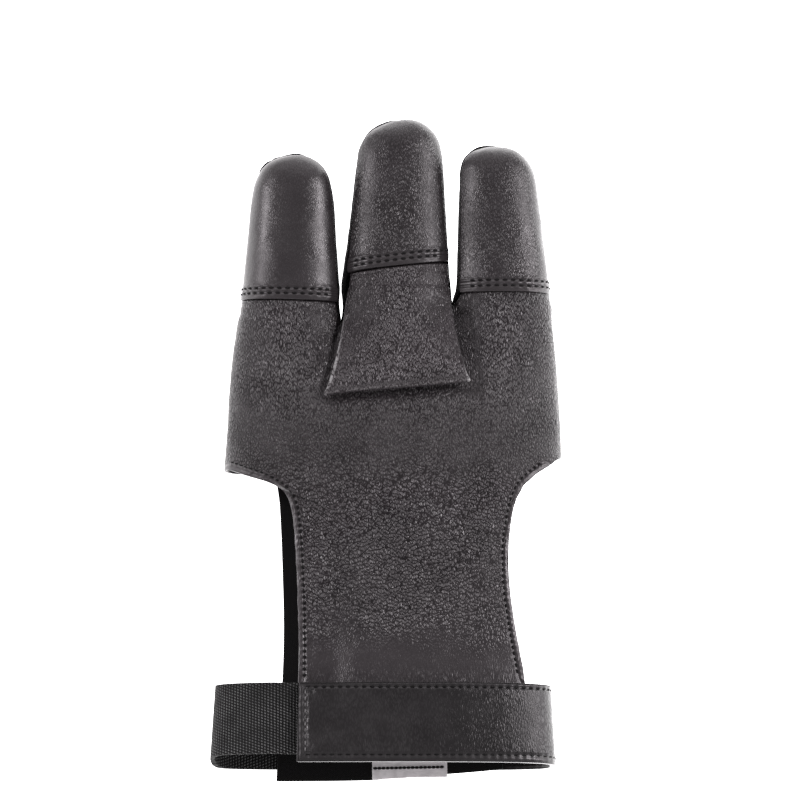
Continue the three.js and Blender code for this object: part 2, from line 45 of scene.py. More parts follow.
# Each finger's cap. "hem" and "slant" give the hem's place on the solid, and "drop" how far below it
# the leather ends: in the middle, more towards the thumb, and more down the sides. "arc" is the part
# of the finger's round that has stitches, at the heights in "rows". "widen" moves the two sides out,
# the thumb's last. "crown" raises the tip at shares of the half width. "rim" is how far the back
# shows past the cap at places round it.
FINGERS = {
    "ring": {
        "x": -30.1, "half": 15.6, "tip": 93.3, "hem": 45.7, "slant": 0.4, "drop": (0.5, 0.7, 0.45),
        "arc": (18, 220), "rows": (1.85, 3.45), "grain": 0.035, "widen": (0.75, 0.4),
        "rim": [
            (-110, 1.0), (-60, 0.6), (0, 0.4), (30, HIDDEN), (62, HIDDEN),
            (85, 0.5), (108, 1.0), (130, 0.5), (145, HIDDEN),
        ],
        "crown": [(-1, 0.2), (-0.5, 0.1), (-0.2, -0.7), (0, -0.9), (0.4, -0.4), (0.8, 0.7), (1, 0.9)],
    },
    "middle": {
        "x": 3.3, "half": 16.6, "tip": 103.9, "hem": 55.3, "slant": 2.2, "drop": (-0.9, 0.2, 0.6),
        "arc": (8, 158), "rows": (1.5, 3.2), "grain": 0.075, "widen": (0.6, 0),
        "rim": [
            (84, HIDDEN), (100, 0.3), (118, 0.5), (140, 0.1), (165, 0.1),
            (200, 0.4), (240, 0.8), (290, 1.3),
        ],
        "crown": [(-1, 0.5), (-0.6, -0.1), (-0.3, -0.6), (0.1, -0.2), (0.4, 0.7), (0.8, 1.2), (1, 1.2)],
    },
    "index": {
        "x": 36.5, "half": 15.2, "tip": 95.2, "hem": 48.4, "slant": 0.3, "drop": (0.35, 0.25, 0.65),
        "arc": (-40, 148), "rows": (1.5, 3.3), "grain": 0.065, "widen": (0.6, 0),
        "rim": [
            (86, HIDDEN), (98, 0.3), (115, 0.6), (140, 0.3), (170, 0.4),
            (200, 0.7), (240, 1.0), (290, 1.3),
        ],
        "crown": [(-1, 2.2), (-0.8, 1.8), (-0.5, 0.2), (-0.1, -0.1), (0.2, 0.4), (0.5, 0.8), (1, 0.6)],
    },
}

# A hem's rise for each millimetre down the finger's sides, and the depth of the tuck below it
HEM_TILT = 0.17
HEM_TUCK = 1.6

# The spacing of the stitches in each kind of row, and how far the palm's row is from its edge
CAP_STITCH = 2.6
EDGE_STITCH = 1.9
EDGE_INSET = 1.9
STRAP_STITCH = 2.5
LABEL_STITCH = 1.3

# The tongue's foot, which rises by its slant over its width, and its sides as pairs of y and x
TONGUE = {
    "x": 3.3, "width": 45, "foot": 16.45, "slant": 4.4,
    "left": [(14, -19.7), (17.6, -18), (25.6, -15.8), (48, -13)],
    "right": [(18.6, 25.9), (20.8, 25.5), (25.6, 24.8), (54, 20.2)],
}

# How far the palm leather's little finger side stands out, as pairs of y and millimetres
PALM_BULGE = [(8, 0.2), (19, 0.9), (25, 1.4), (31, 1.7), (37, 1.5), (42, 1.0), (48, 0.6)]

# The wrist loop, in millimetres: its middle, its half sizes and its lean
LOOP = {"x": -1.1, "z": 15, "y": -89.85, "half_x": 53.2, "half_z": 15, "tilt": 0.06}
LOOP_TOP = 30

# The strap's half width, where it starts, how far round it has stitches, and their insets
STRAP_HALF = 12.5
STRAP_LEFT = -27.7
STRAP_SEWN = 118
STRAP_ROWS = {"top": 1.4, "bottom": 2.2, "end": 2.4}

# The fold across the palm leather's neck
FOLD_Y = -61.5

# A distance in millimetres that stands for far from every edge, and a height above all the pieces
FAR = 20.0
ABOVE = 60

# How much a point's y and z raise it in the camera's view, which is ten degrees off straight down
CAMERA_ELEVATION = math.radians(80)
SEEN_Y, SEEN_Z = math.sin(CAMERA_ELEVATION), math.cos(CAMERA_ELEVATION)


def ease(share):
    """A smooth step from 0 to 1 as a share goes from 0 to 1."""
    s = np.clip(share, 0, 1)
    return s * s * (3 - 2 * s)


def smooth_curve(pairs, values):
    """A curve through pairs on -1 to 1, with its corners rounded."""
    grid = np.linspace(-1, 1, 81)
    heights = np.interp(grid, *zip(*pairs))
    for _ in range(24):
        heights[1:-1] = (heights[:-2] + 2 * heights[1:-1] + heights[2:]) / 4
    return np.interp(values, grid, heights)


class Graph:
    """A short way to write a material's nodes."""

    def __init__(self, name):
        self.material = bpy.data.materials.new(name)
        self.material.use_nodes = True
        self.tree = self.material.node_tree
        self.shader = self.tree.nodes["Principled BSDF"]

    def add(self, kind, inputs=None, **settings):
        node = self.tree.nodes.new("ShaderNode" + kind)
        for key, value in settings.items():
            setattr(node, key, value)
        for key, value in (inputs or {}).items():
            self.feed(node.inputs[key], value)
        return node

    def feed(self, socket, value):
        if isinstance(value, bpy.types.NodeSocket):
            self.tree.links.new(value, socket)
        else:
            socket.default_value = value

    def math(self, operation, a, b=0.0, c=0.0):
        return self.add("Math", {0: a, 1: b, 2: c}, operation=operation).outputs[0]

    def plus(self, a, b):
        return self.math("ADD", a, b)

    def minus(self, a, b):
        return self.math("SUBTRACT", a, b)

    def times(self, a, b):
        return self.math("MULTIPLY", a, b)

    def wave(self, value, period):
        """A sine of a value, from -1 to 1."""
        return self.math("SINE", self.times(value, 2 * math.pi / period))

    def range(self, value, low, high, to_low=0.0, to_high=1.0):
        inputs = {"Value": value, 1: low, 2: high, 3: to_low, 4: to_high}
        return self.add("MapRange", inputs, interpolation_type="SMOOTHSTEP").outputs[0]

    def place(self):
        return self.add("TexCoord").outputs["Object"]

    def attribute(self, name):
        return self.add("Attribute", attribute_name=name).outputs["Fac"]

    def stretched(self, vector, scale):
        """The place scaled, then turned a little about the upright axis."""
        turn = (0, 0, 0.4)
        upright = self.add("Mapping", {"Vector": vector, "Scale": scale}).outputs[0]
        return self.add("Mapping", {"Vector": upright, "Rotation": turn}).outputs[0]

    def noise(self, vector, scale, detail=2.0, roughness=0.5):
        inputs = {"Vector": vector, "Scale": scale, "Detail": detail, "Roughness": roughness}
        return self.add("TexNoise", inputs).outputs["Fac"]

    def bend(self, vector, scale, amount):
        """The place moved about by noise."""
        warp = self.add("TexNoise", {"Vector": vector, "Scale": scale, "Detail": 1.0})
        centred = {0: warp.outputs["Color"], 1: (0.5, 0.5, 0.5)}
        shift = self.add("VectorMath", centred, operation="SUBTRACT").outputs[0]
        sized = self.add("VectorMath", {0: shift, "Scale": amount}, operation="SCALE").outputs[0]
        return self.add("VectorMath", {0: vector, 1: sized}).outputs[0]

    def mix(self, share, a, b):
        node = self.add("Mix", data_type="RGBA")
        self.feed(node.inputs[0], share)
        self.feed(node.inputs[6], a)
        self.feed(node.inputs[7], b)
        return node.outputs[2]

    def bump(self, height_mm):
        inputs = {"Height": height_mm, "Distance": MM, "Strength": 1.0}
        self.feed(self.shader.inputs["Normal"], self.add("Bump", inputs).outputs[0])


def grey(value, warm=0.0):
    return (value * (1 + warm), value * (1 - warm * 0.5), value * (1 + warm * 0.2), 1)


def pebbles(graph, place, size_mm, stretch):
    """Grain cells: 0 in the cracks between them, 1 on their tops."""
    bent = graph.bend(place, 300 / size_mm, 0.0006 * size_mm)
    inputs = {
        "Vector": graph.stretched(bent, (*stretch, 0.45)),
        "Scale": 1000 / size_mm,
        "Randomness": 0.95,
    }
    edge = graph.add("TexVoronoi", inputs, feature="DISTANCE_TO_EDGE").outputs["Distance"]
    return graph.range(edge, 0.0, 0.5)


# The least share of its grain that leather keeps in its smooth patches, and beside its stitches
PATCH_GRAIN = 0.7
SEAM_GRAIN = 0.15


def grain_area(graph, patches, along, span, rows):
    """How much a layer of grain shows, from 0 to 1. Its span is where it starts and where it ends."""
    area = graph.range(patches, 0.35, 0.65, PATCH_GRAIN, 1.0)
    if rows:
        last = rows[-1]
        beside = graph.range(graph.attribute("rim"), last, last + 1, SEAM_GRAIN, 1.0)
        area = graph.times(area, beside)
    if span:
        starts, full, ends, gone = span
        area = graph.times(area, graph.range(along, starts, full))
        area = graph.times(area, graph.range(along, ends, gone, 1.0, 0.0))
    return area


def stitch_relief(graph, height, rows, pitch):
    """The height with a groove along each row of stitches, and a swell between their holes."""
    groove_depth, groove_half, swell = 0.28, 0.8, 0.06
    distance = graph.attribute("rim")
    swells = graph.math("COSINE", graph.times(graph.attribute("run"), 2 * math.pi / pitch))
    for at in rows:
        away = graph.math("ABSOLUTE", graph.minus(distance, at))
        height = graph.plus(height, graph.range(away, 0.0, groove_half, -groove_depth, 0.0))
        near = graph.range(away, 0.3, 1.5, swell, 0.0)
        height = graph.plus(height, graph.times(near, swells))
    return height


def leather(name, tone, layers, rows=(), pitch=None, roughness=0.37, axis=1, cut=False):
    """Grained leather, with painted shade in the cracks between the grain's cells. Each layer of grain
    has a cell size, a stretch, a height and a span.
    """
    dent_depth, full_crack_shade, worn_highlight_tone = 1.1, 0.13, 0.2
    graph = Graph(name)
    place = graph.place()
    along = graph.times(graph.add("SeparateXYZ", {0: place}).outputs[axis], 1 / MM)
    waver = graph.minus(graph.noise(place, 60, 2.0), 0.5)
    along = graph.plus(along, graph.times(waver, 8))
    height = graph.times(graph.noise(place, 45, 3.0, 0.55), dent_depth)
    cracks = None
    for n, (size, stretch, tall, span) in enumerate(layers):
        cells = pebbles(graph, place, size, stretch)
        patches = graph.noise(place, 60 + 15 * n, 3.0)
        area = grain_area(graph, patches, along, span, rows)
        height = graph.plus(height, graph.times(cells, graph.times(area, tall)))
        # Painted shade in the cracks between the cells, deeper where the grain is taller
        depth = min(1, tall / full_crack_shade)
        crack = graph.times(graph.range(cells, 0.0, 0.3, depth, 0.0), area)
        cracks = crack if cracks is None else graph.math("MAXIMUM", cracks, crack)
    pores = graph.noise(place, 2400, 2.0)
    height = graph.plus(height, graph.times(pores, 0.015))
    if rows:
        height = stitch_relief(graph, height, rows, pitch)
    graph.bump(height)
    clouds = graph.noise(place, 90, 2.0)
    tops = graph.mix(clouds, grey(tone * 0.85, 0.1), grey(tone * 1.2, 0.1))
    # Painted shade: the cracks darken towards a third of the tone
    colour = graph.mix(graph.times(cracks, 0.8), tops, grey(tone * 0.35, 0.05))
    # Near the cut edges the colour turns lighter: partly wear, partly a painted highlight along the
    # edge
    if cut:
        near = graph.range(graph.attribute("edge"), 0.3, 1.1, 1.0, 0.0)
        worn = graph.times(near, graph.range(graph.noise(place, 900, 2.0), 0.35, 0.6))
        colour = graph.mix(worn, colour, grey(worn_highlight_tone))
    graph.feed(graph.shader.inputs["Base Color"], colour)
    polish = graph.noise(place, 130, 3.0)
    rough = graph.range(polish, 0.3, 0.7, roughness - 0.05, roughness + 0.06)
    graph.feed(graph.shader.inputs["Roughness"], rough)
    # The cracks' painted shade also lowers their specular level
    shine = graph.math("MULTIPLY_ADD", cracks, -0.42, 0.5)
    graph.feed(graph.shader.inputs["Specular IOR Level"], shine)
    return graph.material


def knit(name, tone, pitch_mm):
    """Knitted fabric: rows of small loops with a fuzz over them."""
    loop_height, fuzz_height = 0.05, 0.08
    graph = Graph(name)
    part = graph.add("SeparateXYZ", {0: graph.place()}).outputs
    across = graph.wave(part[0], pitch_mm * MM)
    down = graph.wave(part[1], pitch_mm * MM / 1.25)
    loops = graph.times(across, down)
    fuzz = graph.noise(graph.place(), 1500, 2.0)
    graph.bump(graph.plus(graph.times(loops, loop_height), graph.times(fuzz, fuzz_height)))
    colour = graph.mix(graph.range(loops, -0.4, 1.0), grey(tone * 0.6), grey(tone * 1.5))
    graph.feed(graph.shader.inputs["Base Color"], colour)
    graph.shader.inputs["Roughness"].default_value = 0.9
    graph.shader.inputs["Specular IOR Level"].default_value = 0.1
    graph.shader.inputs["Sheen Weight"].default_value = 0.03
    return graph.material


def ribbed(name):
    """Woven elastic: columns one millimetre apart with a lighter thread across each."""
    column_pitch, thread_pitch = 0.98, 0.95
    column_height, thread_height = 0.3, 0.12
    offset, slope = 2.4, 3.0
    graph = Graph(name)
    share = graph.math("DIVIDE", graph.attribute("run"), column_pitch)
    column = graph.math("ABSOLUTE", graph.math("SINE", graph.times(share, math.pi)))
    start = graph.times(graph.math("FLOOR", share), offset)
    slant = graph.times(graph.math("FRACT", share), slope)
    rise = graph.attribute("rim")
    turn = graph.math("MULTIPLY_ADD", rise, 2 * math.pi / thread_pitch, graph.plus(start, slant))
    dot = graph.range(graph.math("SINE", turn), -0.5, 0.9)
    thread = graph.times(dot, graph.range(column, 0.4, 0.95))
    graph.bump(graph.plus(graph.times(column, column_height), graph.times(thread, thread_height)))
    worn = graph.range(graph.noise(graph.place(), 160, 2.0), 0.3, 0.7, 0.55, 1.0)
    colour = graph.mix(graph.times(thread, worn), grey(0.003), grey(0.11, -0.03))
    graph.feed(graph.shader.inputs["Base Color"], colour)
    graph.shader.inputs["Specular IOR Level"].default_value = 0.15
    graph.shader.inputs["Roughness"].default_value = 0.8
    return graph.material


def pale_floor():
    """White, and brighter on the thumb's side, where the leather's edge catches more light."""
    least, most = 1.8, 3.6
    graph = Graph("pale floor")
    graph.shader.inputs["Base Color"].default_value = (0.85, 0.85, 0.85, 1)
    graph.shader.inputs["Roughness"].default_value = 0.9
    graph.shader.inputs["Emission Color"].default_value = (1, 1, 1, 1)
    across = graph.add("SeparateXYZ", {0: graph.place()}).outputs[0]
    glow = graph.range(across, -0.05, 0.07, least, most)
    graph.feed(graph.shader.inputs["Emission Strength"], glow)
    return graph.material


def twisted(name, tone):
    """Thread of two plies, a little uneven in colour."""
    ply_pitch, ply_height = 0.45, 0.05
    graph = Graph(name)
    place = graph.stretched(graph.place(), (1 / MM, 1 / MM, 1 / MM))
    part = graph.add("SeparateXYZ", {0: place}).outputs
    along = graph.plus(graph.plus(part[0], part[1]), part[2])
    graph.bump(graph.times(graph.wave(along, ply_pitch), ply_height))
    share = graph.range(graph.noise(graph.place(), 900), 0.3, 0.7)
    colour = graph.mix(share, grey(tone * 0.7), grey(tone * 1.4))
    graph.feed(graph.shader.inputs["Base Color"], colour)
    graph.shader.inputs["Roughness"].default_value = 0.7
    graph.shader.inputs["Specular IOR Level"].default_value = 0.12
    return graph.material


def woven_label(name):
    """Smooth light ribbon of fine threads."""
    weft_pitch, warp_pitch, thread_height = 0.5, 0.6, 0.03
    graph = Graph(name)
    place = graph.place()
    part = graph.add("SeparateXYZ", {0: place}).outputs
    weft = graph.wave(part[0], weft_pitch * MM)
    warp = graph.wave(part[1], warp_pitch * MM)
    graph.bump(graph.times(graph.times(weft, warp), thread_height))
    spots = graph.range(graph.noise(place, 400, 3.0), 0.35, 0.65)
    colour = graph.mix(spots, grey(0.6), grey(0.72))
    graph.feed(graph.shader.inputs["Base Color"], colour)
    graph.shader.inputs["Roughness"].default_value = 0.6
    return graph.material


def cut_rows(form):
    """Extra rows of points just below the cap hems, so that the leather there can bulge."""
    beside, along = 2.5, 9
    for finger in FINGERS.values():
        across = Vector((-finger["slant"] / finger["half"], 1, HEM_TILT))
        for below in (0.5, 1.1, 1.9):
            faces = []
            for face in form.faces:
                place = face.calc_center_median() / MM
                near = abs(place.x - finger["x"]) < finger["half"] + beside
                if near and abs(place.y - finger["hem"]) < along:
                    faces.append(face)
            geometry = set(faces)
            for face in faces:
                geometry.update(face.edges, face.verts)
            bmesh.ops.bisect_plane(
                form,
                geom=list(geometry),
                plane_co=Vector((finger["x"], finger["hem"] - below, HEM_Z)) * MM,
                plane_no=across,
                dist=2e-5,
            )


def dress(node, material, level, rounding=0.3, rows=False):
    """A smooth copy of a solid, which is shown in its place."""
    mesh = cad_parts[node].data.copy()
    form = bmesh.new()
    form.from_mesh(mesh)
    bmesh.ops.remove_doubles(form, verts=form.verts, dist=5e-6)
    bmesh.ops.join_triangles(
        form,
        faces=form.faces,
        angle_face_threshold=math.radians(35),
        angle_shape_threshold=math.radians(70),
    )
    if rows:
        cut_rows(form)
    form.to_mesh(mesh)
    form.free()
    piece = bpy.data.objects.new(node + "_dressed", mesh)
    bpy.context.scene.collection.objects.link(piece)
    edges = piece.modifiers.new("Edges", "BEVEL")
    edges.width = rounding * MM
    edges.segments = 2
    edges.limit_method = "ANGLE"
    edges.angle_limit = math.radians(50)
    smooth = piece.modifiers.new("Smooth", "SUBSURF")
    smooth.levels = smooth.render_levels = level
    shown = piece.evaluated_get(bpy.context.evaluated_depsgraph_get())
    piece.data = bpy.data.meshes.new_from_object(shown)
    piece.modifiers.clear()
    piece.data.materials.clear()
    piece.data.materials.append(material)
    piece.data.shade_smooth()
    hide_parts(node)
    return attach(piece)


def attach(piece):
    """The piece goes with the glove."""
    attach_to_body(piece, "root")
    return piece


def corners(piece):
    """The piece's points and normals, in millimetres."""
    mesh = piece.data
    points = np.empty(len(mesh.vertices) * 3)
    normals = np.empty(len(mesh.vertices) * 3)
    mesh.vertices.foreach_get("co", points)
    mesh.vertex_normals.foreach_get("vector", normals)
    return points.reshape(-1, 3) / MM, normals.reshape(-1, 3)


def move(piece, points_mm):
    """The piece's points go to these places, in millimetres."""
    piece.data.vertices.foreach_set("co", (points_mm * MM).ravel())
    piece.data.update()


def paint(piece, name, values):
    """Gives each point of the piece a number that its material reads."""
    attribute = piece.data.attributes.new(name, "FLOAT", "POINT")
    attribute.data.foreach_set("value", np.asarray(values, float))


def nearer(a, b):
    """The smaller of two distances, rounded where they are alike."""
    a, b = np.maximum(a, 0.01), np.maximum(b, 0.01)
    return (a**-4 + b**-4) ** -0.25


def noise_at(points_mm, size_mm, seed):
    """Smooth noise from -1 to 1, with lumps of a size."""
    offset = Vector((seed * 7.3, seed * 3.1, seed * 5.7))
    return np.array([noise.noise(Vector(p) / size_mm + offset) for p in points_mm])


def shape_tree(piece):
    """The piece's surface, for rays."""
    form = bmesh.new()
    form.from_mesh(piece.data)
    tree = BVHTree.FromBMesh(form)
    form.free()
    return tree


def land(tree, start_mm, toward):
    """Where a ray meets a piece, in millimetres, with the surface's normal."""
    place, normal, _, _ = tree.ray_cast(Vector(start_mm) * MM, Vector(toward).normalized())
    return None if place is None else (np.array(place) / MM, np.array(normal))


def lengths(points):
    """The distance along a line at each of its points."""
    steps = np.linalg.norm(np.diff(points, axis=0), axis=1)
    return np.concatenate([[0], np.cumsum(steps)])


def sew(name, path, pitch, material, slot, length=0.72, radius=0.27, sink=0.1):
    """A row of stitches along a path of (point, normal), in millimetres.

    A stitch is a rounded rod: its length is a share of the pitch, and it sinks in at its ends.
    """
    sides, rings, hump = 6, 5, 0.55
    points = np.array([p for p, _ in path])
    normals = np.array([n for _, n in path])
    reach = lengths(points)

    def on_path(values, at):
        return np.array([np.interp(at, reach, values[:, k]) for k in range(3)])

    vertices, faces = [], []
    for centre in np.arange(0.5 * pitch, reach[-1] - 0.3 * pitch, pitch):
        before, after = on_path(points, centre - 0.3), on_path(points, centre + 0.3)
        along = after - before
        along /= np.linalg.norm(along)
        up = on_path(normals, centre)
        up /= np.linalg.norm(up)
        side = np.cross(along, up)
        middle = (before + after) / 2
        first = len(vertices)
        for ring in range(rings):
            s = 2 * ring / (rings - 1) - 1
            size = radius * math.sqrt(max(0.04, 1 - s * s * 0.97))
            lift = radius * hump * (1 - s * s) - sink
            spine = middle + along * s * length * pitch / 2 + up * lift
            for n in range(sides):
                a = 2 * math.pi * n / sides
                out = side * math.cos(a) + up * math.sin(a)
                vertices.append(tuple((spine + out * size) * MM))
        for ring in range(rings - 1):
            for n in range(sides):
                a, b = first + ring * sides, first + (ring + 1) * sides
                m = (n + 1) % sides
                faces.append((a + n, a + m, b + m, b + n))
        faces.append(tuple(first + n for n in reversed(range(sides))))
        faces.append(tuple(first + (rings - 1) * sides + n for n in range(sides)))
    mesh = bpy.data.meshes.new(name)
    mesh.from_pydata(vertices, [], faces)
    mesh.materials.append(material)
    mesh.shade_smooth()
    piece = bpy.data.objects.new(name, mesh)
    bpy.context.scene.collection.objects.link(piece)
    return attach(piece)


def across_finger(finger, points):
    """A share of the finger's half width: -1 on the little finger's side, 1 on the thumb's."""
    return np.clip((points[:, 0] - finger["x"]) / finger["half"], -1, 1)


def hem_rise(points):
    """How far a hem has risen at each point's depth, in millimetres."""
    return HEM_TILT * (HEM_Z - points[:, 2])


def hem_drop(finger, points):
    """How far below its place on the solid the cap ends, in millimetres."""
    middle, slope, sides = finger["drop"]
    return middle + slope * across_finger(finger, points) + sides * hem_rise(points)


def hem_distance(finger, points, dropped=True):
    """How far points lie above a cap's hem, in millimetres."""
    hem = finger["hem"] + finger["slant"] * across_finger(finger, points) + hem_rise(points)
    return points[:, 1] - hem + dropped * hem_drop(finger, points)


def settle_cap(finger, points):
    """The hem at its dropped place, a fuller tip and wider sides, as points in millimetres."""
    hem_zone, hem_fade = 14, 12
    tip_depth, tip_fade = 16, 10
    side_share = 0.6
    moved = points.copy()
    across = across_finger(finger, points)
    low = ease((hem_zone - hem_distance(finger, points, dropped=False)) / hem_fade)
    moved[:, 1] -= hem_drop(finger, points) * low
    high = ease((points[:, 1] - finger["tip"] + tip_depth) / tip_fade)
    moved[:, 1] += smooth_curve(finger["crown"], across) * high
    left, right = finger["widen"]
    moved[:, 0] += right * ease(across / side_share) - left * ease(-across / side_share)
    return moved


def cap_row(finger, tree, distance):
    """The path of a stitch row round a cap's front, with the angle at each point."""
    outside, end_gap = 40, 4
    path, angles = [], []
    low, high = finger["arc"]
    for angle in np.linspace(high - end_gap, low + end_gap, 160):
        a = math.radians(angle)
        out = np.array([math.cos(a), 0, math.sin(a)])
        y = finger["hem"] + distance - finger["drop"][0]
        for _ in range(3):
            start = np.array([finger["x"], y, FINGER_Z]) + out * outside
            hit = land(tree, start, -out)
            if hit is None:
                break
            y += distance - hem_distance(finger, hit[0][None])[0]
        if hit is not None:
            path.append(hit)
            angles.append(angle)
    return path, angles


# The places round a cap's outline at which its reach is measured
PLACE_STEP = 5
ROUND_CAP = np.arange(-90, 271, PLACE_STEP)


def cap_places(finger, points):
    """Each point's place round a cap's outline, and its reach, both as the camera sees them."""
    x = points[:, 0] - finger["x"]
    rise = SEEN_Y * points[:, 1] + SEEN_Z * points[:, 2]
    y = rise - SEEN_Y * (finger["tip"] - finger["half"]) - SEEN_Z * FINGER_Z
    angle = np.degrees(np.arctan2(y, x))
    side = np.where(x < 0, 180 - SIDE_STEP * y, SIDE_STEP * y)
    return np.where(y > 0, angle, side), np.where(y > 0, np.hypot(x, y), abs(x))


def cap_reach(finger, points):
    """How far the points reach at each place of ROUND_CAP."""
    near = abs(points[:, 0] - finger["x"]) < finger["half"] + 0.6
    places, reach = cap_places(finger, points[near])
    return [reach[abs(places - place) < PLACE_STEP].max(initial=1) for place in ROUND_CAP]


def make_cap(name, finger, material, thread):
    """A fingertip cap with its rows of stitches. Returns its reach at each place of ROUND_CAP."""
    piece = dress(name + "_cap", material, 3)
    move(piece, settle_cap(finger, corners(piece)[0]))
    path, angles = cap_row(finger, shape_tree(piece), finger["rows"][0])
    points, normals = corners(piece)
    distance = hem_distance(finger, points)
    turn = np.degrees(np.arctan2(points[:, 2] - FINGER_Z, points[:, 0] - finger["x"]))
    turn = np.where(turn < -90, turn + 360, turn)
    reach = lengths(np.array([p for p, _ in path]))
    paint(piece, "rim", distance)
    paint(piece, "run", np.interp(turn, angles[::-1], reach[::-1]))

    fold_height, fold_end = 0.28, finger["rows"][1] + 1.2
    fold = fold_height * ease((fold_end - distance) / 0.8)
    dents = 0.3 * noise_at(points, 17, 1) + 0.12 * noise_at(points, 7, 2)
    outward = np.clip(normals[:, 2] + 0.6, 0, 1) * (distance > -5)
    shift = (fold + dents) * outward * ease((distance + 0.2) / 1.5)
    move(piece, points + normals * shift[:, None])

    tree = shape_tree(piece)
    for row, at in enumerate(finger["rows"]):
        path, _ = cap_row(finger, tree, at)
        sew(f"{name}_hem_stitches_{row}", path, CAP_STITCH, thread, "stretch_fabric")
    return cap_reach(finger, corners(piece)[0])


def outline(tree, side):
    """The palm leather's lower edge on one side, from the corner down to the strap."""
    corner_x, neck_x, lowest = 49.6, 38, -76

    def covered(x, y):
        return land(tree, (x, y, ABOVE), (0, 0, -1)) is not None

    points = []
    for x in np.arange(corner_x, neck_x, -0.8) * side:
        low, high = -30.0, 20.0
        while high - low > 0.05:
            middle = (low + high) / 2
            low, high = (low, middle) if covered(x, middle) else (middle, high)
        points.append((x, high))
    for y in np.arange(points[-1][1] - 1.2, lowest, -1.0):
        inner, outer = 10.0 * side, 49.0 * side
        while abs(outer - inner) > 0.05:
            middle = (inner + outer) / 2
            inner, outer = (middle, outer) if covered(middle, y) else (inner, middle)
        points.append((inner, y))
    line = np.array(points)
    for _ in range(6):
        line[1:-1] = (line[:-2] + 2 * line[1:-1] + line[2:]) / 4
    return line


def edge_row(tree, line, side, inset):
    """The path of the stitches that follow an outline at an inset."""
    along = np.gradient(line, axis=0)
    along /= np.linalg.norm(along, axis=1)[:, None]
    inward = np.stack([along[:, 1], -along[:, 0]], axis=1) * side
    path = [land(tree, (*point, ABOVE), (0, 0, -1)) for point in line + inward * inset]
    return [hit for hit in path if hit is not None]


def swell_below_hems(piece):
    """The leather fills out again just below each cap's hem."""
    points, normals = corners(piece)
    moved = points.copy()
    middles = np.array([[finger["x"], finger["half"]] for finger in FINGERS.values()])
    nearest = np.abs((points[:, :1] - middles[:, 0]) / middles[:, 1]).argmin(axis=1)
    for n, finger in enumerate(FINGERS.values()):
        below = -hem_distance(finger, points)
        lowest = finger["hem"] - finger["slant"]
        tucked = np.clip((points[:, 1] - lowest + 3) / 3, 0, 1)
        sides = ease((abs(across_finger(finger, points)) - 0.8) / 0.15)
        wanted = 1 - ease((below - 0.35 + 0.45 * sides) / 0.8)
        out = points - np.array([finger["x"], 0, FINGER_Z])
        out[:, 1] = 0
        out /= np.maximum(np.linalg.norm(out, axis=1), 1e-6)[:, None]
        facing = np.clip((normals * out).sum(axis=1) * 1.6, 0, 1)
        near = (nearest == n) & (below > -3) & (below < 8)
        size = HEM_TUCK * (tucked - wanted) * facing * near
        moved += normals * size[:, None]
    move(piece, moved)


def paint_sides(piece, points, lines):
    """Paints how near each point is to the palm's side edges, and how far along them it lies."""
    rim = np.full(len(points), FAR)
    run = np.zeros(len(points))
    for side, line in lines.items():
        reach = lengths(line)
        beside = (points[:, 0] * side >= 15) & (points[:, 1] <= 12) & (points[:, 1] >= -80)
        for n in np.flatnonzero(beside):
            gaps = np.hypot(line[:, 0] - points[n, 0], line[:, 1] - points[n, 1])
            best = int(np.argmin(gaps))
            rim[n], run[n] = gaps[best], reach[best]
    paint(piece, "rim", rim)
    paint(piece, "run", run)
    return rim, run


def valley(distance, depth, half):
    """A dip of a depth that ends at a half width from its middle."""
    return -depth * ease(1 - np.abs(distance) / half)


def tongue_foot(x):
    """The height of the tongue's free edge at each x."""
    return TONGUE["foot"] + TONGUE["slant"] * (x - TONGUE["x"]) / TONGUE["width"]


def tongue_sides(y):
    """The tongue's left and right side at each y."""
    return [np.interp(y, *zip(*TONGUE[side])) for side in ("left", "right")]


def palm_shift(points, normals, rim, run):
    """How far each point of the palm leather moves out, in millimetres."""
    x, y, z = points.T
    fingers = ease((44 - y) / 4)
    under_tongue = ease((27 - abs(x - 3)) / 4) * ease((y - 10) / 4)
    free = (1 - under_tongue) * fingers * ease((y + 75) / 5)
    outward = np.clip(normals[:, 2] * 1.5 + 0.5, 0, 1) * (z > 5)

    dents = 0.55 * noise_at(points, 21, 3) + 0.2 * noise_at(points, 9, 4)
    pucker = 0.12 * np.cos(run * 2 * math.pi / 6.1) * ease((5 - rim) / 4)
    turned = -0.15 * ease((1.1 - rim) / 1.1)
    fold_line = FOLD_Y + np.where(x < -16, 0.42, 0.05) * (x + 16)
    fold = valley(y - fold_line, 0.5, 1.3) * ease((10 - x) / 25)
    sag = valley(y - fold_line + 4, 0.3, 4) * ease((20 - x) / 25)

    beneath = valley(y - tongue_foot(x) + 0.8, 1.1, 2.4) * ease((24 - abs(x - 3)) / 3)
    left, right = tongue_sides(y)
    beside = valley(x - left + 0.5, 1.0, 2.6) + valley(x - right - 0.8, 1.9, 5.5)
    beside *= ease((y - 13) / 6) * np.where(x < TONGUE["x"], ease((38 - y) / 8), 1)
    shift = (dents + pucker + turned + fold + sag) * free
    return (shift + (beneath + beside) * fingers) * outward


def make_palm(material, thread):
    piece = dress("palm_leather", material, 2, rounding=0.22, rows=True)
    swell_below_hems(piece)
    tree = shape_tree(piece)
    lines = {side: outline(tree, side) for side in (-1, 1)}
    points, normals = corners(piece)
    rim, run = paint_sides(piece, points, lines)

    x, y, _ = points.T
    bulge = np.interp(y, *zip(*PALM_BULGE)) * ease((-36 - x) / 8)
    points[:, 0] -= bulge
    corner = ease((-34 - x) / 8) * ease((2 - y) / 8) * ease((y + 16) / 6)
    points[:, 1] -= 0.6 * corner
    shift = palm_shift(points, normals, rim, run)
    move(piece, points + normals * shift[:, None])

    tree = shape_tree(piece)
    for side, name in ((-1, "little_finger_side"), (1, "thumb_side")):
        path = edge_row(tree, lines[side], side, EDGE_INSET)
        sew(name + "_edge_stitches", path, EDGE_STITCH, thread, "stretch_fabric", sink=0.02)


